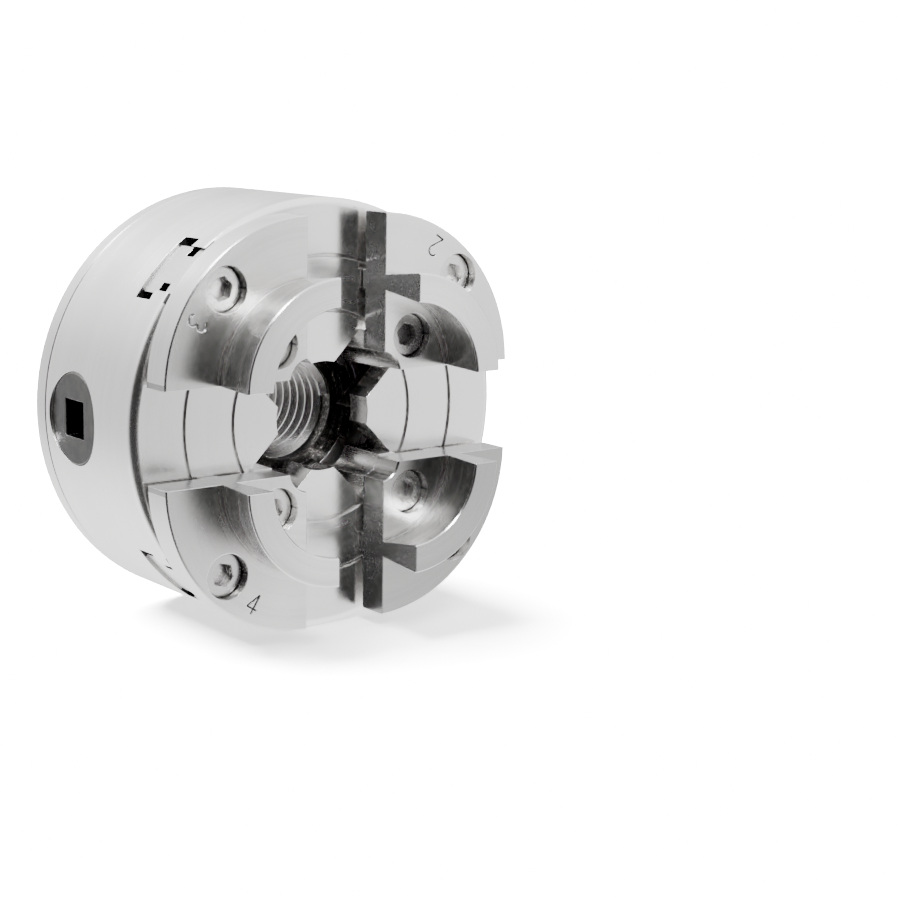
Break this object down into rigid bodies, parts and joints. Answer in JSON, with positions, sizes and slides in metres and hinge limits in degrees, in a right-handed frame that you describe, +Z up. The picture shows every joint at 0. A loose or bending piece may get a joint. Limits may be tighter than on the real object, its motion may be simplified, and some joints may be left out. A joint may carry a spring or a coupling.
{
  "type": "four-jaw scroll lathe chuck",
  "caption": "Four-jaw self-centring scroll chuck for a woodturning lathe, with key-driven bevel pinions and dovetail jaws that grip inside or outside round work.",
  "frame": {"origin": "on the spindle axis at the rear register face of the hub", "axes": "+Y along the spindle axis towards the lathe, -Y towards the work, +Z up, +X to the right seen from the front"},
  "size_m": [0.1, 0.0671, 0.1],
  "materials": {
    "body_steel": "fine turned and ground",
    "jaw_steel": "ground, satin nickel",
    "slide_steel": "milled and ground",
    "scroll_steel": "machined, oiled",
    "pinion_steel": "black oxide, fine",
    "jaw_screws": "bright zinc",
    "black_screws": "black oxide",
    "spring_steel": "oiled spring steel"
  },
  "bodies": {
    "chuck_body": {"body": "body_steel", "rear_cover": "body_steel", "cover_screws": "black_screws", "scroll_circlip": "spring_steel", "pinion_retainer_left": "spring_steel", "pinion_retainer_right": "spring_steel"},
    "scroll": {"scroll": "scroll_steel"},
    "pinion_left": {"pinion_left": "pinion_steel"},
    "pinion_right": {"pinion_right": "pinion_steel"},
    "jaw_1": {"jaw_slide_1": "slide_steel", "top_jaw_1": "jaw_steel", "inner_screw_1": "jaw_screws", "outer_screw_1": "jaw_screws"},
    "jaw_2": {"jaw_slide_2": "slide_steel", "top_jaw_2": "jaw_steel", "inner_screw_2": "jaw_screws", "outer_screw_2": "jaw_screws"},
    "jaw_3": {"jaw_slide_3": "slide_steel", "top_jaw_3": "jaw_steel", "inner_screw_3": "jaw_screws", "outer_screw_3": "jaw_screws"},
    "jaw_4": {"jaw_slide_4": "slide_steel", "top_jaw_4": "jaw_steel", "inner_screw_4": "jaw_screws", "outer_screw_4": "jaw_screws"}
  },
  "joints": [
    {"name": "scroll_turn", "type": "hinge", "parent": "chuck_body", "child": "scroll", "pos_m": [0, -0.03, 0], "axis": [0, 1, 0], "range_deg": [-1018.08, 316.8]},
    {"name": "pinion_left_turn", "type": "hinge", "parent": "chuck_body", "child": "pinion_left", "pos_m": [-0.04, -0.0182, 0], "axis": [-1, 0, 0], "range_deg": [-6364, 1981]},
    {"name": "pinion_right_turn", "type": "hinge", "parent": "chuck_body", "child": "pinion_right", "pos_m": [0.04, -0.0182, 0], "axis": [1, 0, 0], "range_deg": [-6364, 1981]},
    {"name": "jaw_1_slide", "type": "slide", "parent": "chuck_body", "child": "jaw_1", "axis": [0.7071, 0, -0.7071], "range_m": [-0.01416, 0.00442]},
    {"name": "jaw_2_slide", "type": "slide", "parent": "chuck_body", "child": "jaw_2", "axis": [0.7071, 0, 0.7071], "range_m": [-0.01416, 0.00442]},
    {"name": "jaw_3_slide", "type": "slide", "parent": "chuck_body", "child": "jaw_3", "axis": [-0.7071, 0, 0.7071], "range_m": [-0.01416, 0.00442]},
    {"name": "jaw_4_slide", "type": "slide", "parent": "chuck_body", "child": "jaw_4", "axis": [-0.7071, 0, -0.7071], "range_m": [-0.01416, 0.00442]}
  ],
  "couplings": [
    {"joint": "pinion_left_turn", "follows": "scroll_turn", "ratio": 6.25},
    {"joint": "pinion_right_turn", "follows": "scroll_turn", "ratio": 6.25},
    {"joint": "jaw_1_slide", "follows": "scroll_turn", "m_per_rad": 0.00079577},
    {"joint": "jaw_2_slide", "follows": "scroll_turn", "m_per_rad": 0.00079577},
    {"joint": "jaw_3_slide", "follows": "scroll_turn", "m_per_rad": 0.00079577},
    {"joint": "jaw_4_slide", "follows": "scroll_turn", "m_per_rad": 0.00079577}
  ]
}
